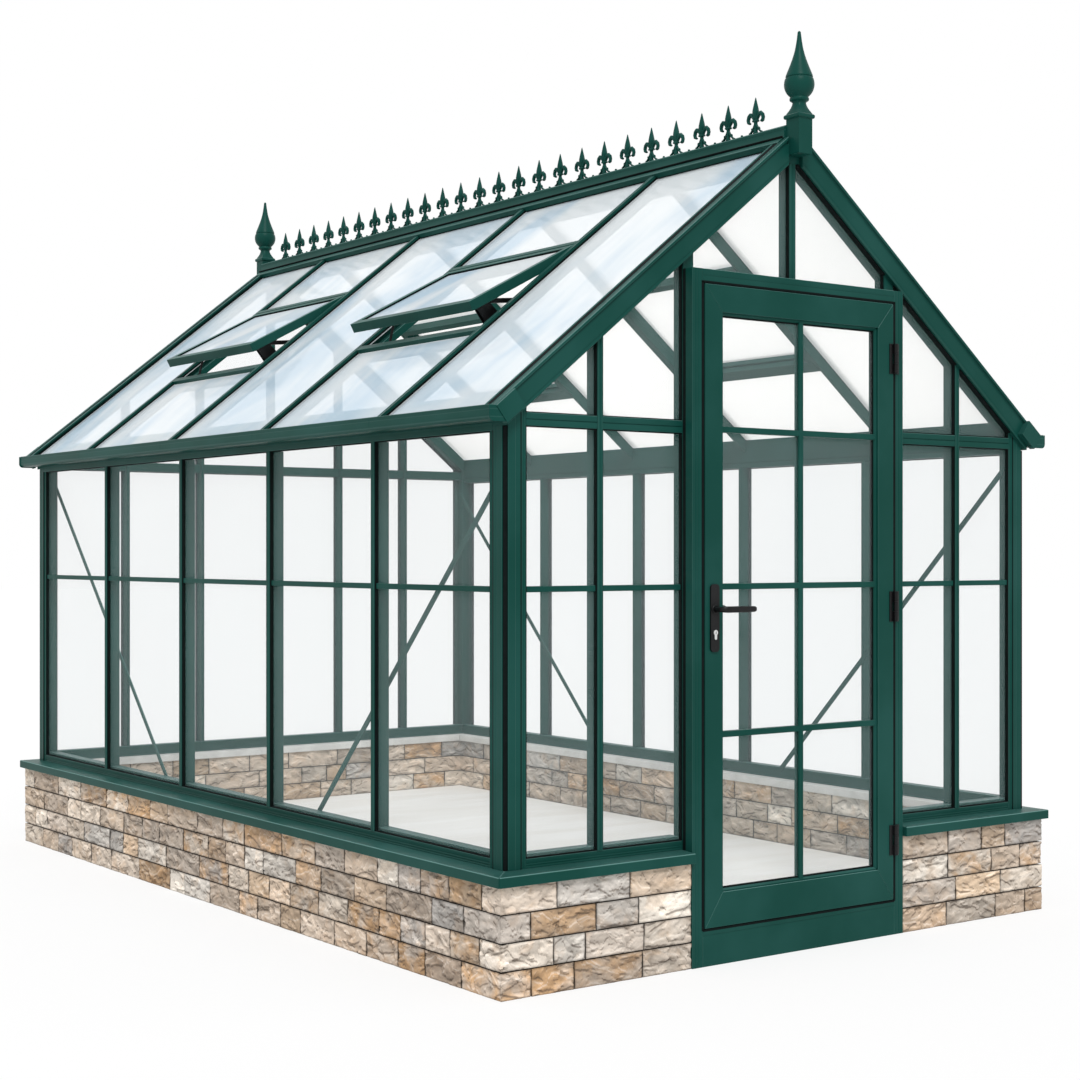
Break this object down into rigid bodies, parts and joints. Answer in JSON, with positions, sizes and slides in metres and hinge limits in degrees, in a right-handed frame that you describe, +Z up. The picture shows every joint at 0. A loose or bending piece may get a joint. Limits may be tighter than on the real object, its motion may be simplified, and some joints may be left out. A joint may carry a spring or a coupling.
{
  "type": "greenhouse",
  "caption": "Gabled glass greenhouse with a green metal frame on a low stone wall, a glazed hinged door, roof vents, gutters, ridge cresting and finials.",
  "frame": {"origin": "centre of the building's plan at ground level", "axes": "+Z up, +Y along the ridge from the door gable to the far gable, +X to the right of someone facing the door from outside"},
  "size_m": [2.422, 3.773, 2.9508],
  "materials": {
    "split_stone": "split-faced, matt",
    "concrete": "smooth, matt",
    "paving": "smooth, matt",
    "green_frame": "satin paint",
    "clear_glass": "clear",
    "roof_sheet": "clear",
    "black_iron": "satin black",
    "lock_steel": "satin"
  },
  "bodies": {
    "building": {"dwarf_wall_left": "split_stone", "dwarf_wall_right": "split_stone", "dwarf_wall_back": "split_stone", "dwarf_wall_front_left": "split_stone", "dwarf_wall_front_right": "split_stone", "inner_coping": "concrete", "floor_slab": "paving", "base_cill": "green_frame", "bottom_rails": "green_frame", "corner_posts": "green_frame", "side_wall_posts": "green_frame", "front_mullions": "green_frame", "back_mullions": "green_frame", "eaves_beams": "green_frame", "gable_transoms": "green_frame", "gable_rafters": "green_frame", "roof_bars": "green_frame", "ridge_beam": "green_frame", "ridge_cap": "green_frame", "ridge_cresting": "green_frame", "finials": "green_frame", "gutters": "green_frame", "vent_curb_rails": "green_frame", "vent_curb_stiles": "green_frame", "vent_frames": "green_frame", "wind_braces": "green_frame", "door_jambs": "green_frame", "door_head": "green_frame", "door_threshold": "green_frame", "door_stops": "green_frame", "side_wall_glass": "clear_glass", "front_glass": "clear_glass", "back_glass": "clear_glass", "roof_glass": "roof_sheet", "vent_glass": "roof_sheet", "vent_openers": "black_iron", "frame_hinges": "black_iron"},
    "door": {"door_stiles": "green_frame", "door_rails": "green_frame", "door_glass": "clear_glass", "leaf_hinges": "black_iron", "handle_plates": "black_iron", "lock_cylinder": "lock_steel"},
    "lever": {"lever_handle": "black_iron"}
  },
  "joints": [
    {"name": "door_hinge", "type": "hinge", "parent": "building", "child": "door", "pos_m": [0.4185, -1.851, 1.1], "axis": [0, 0, 1], "range_deg": [0, 100]},
    {"name": "handle_turn", "type": "hinge", "parent": "door", "child": "lever", "pos_m": [-0.379, -1.821, 1.1005], "axis": [0, 1, 0], "range_deg": [0, 40], "stiffness_Nm_per_rad": 2, "springref_deg": -34.38}
  ]
}
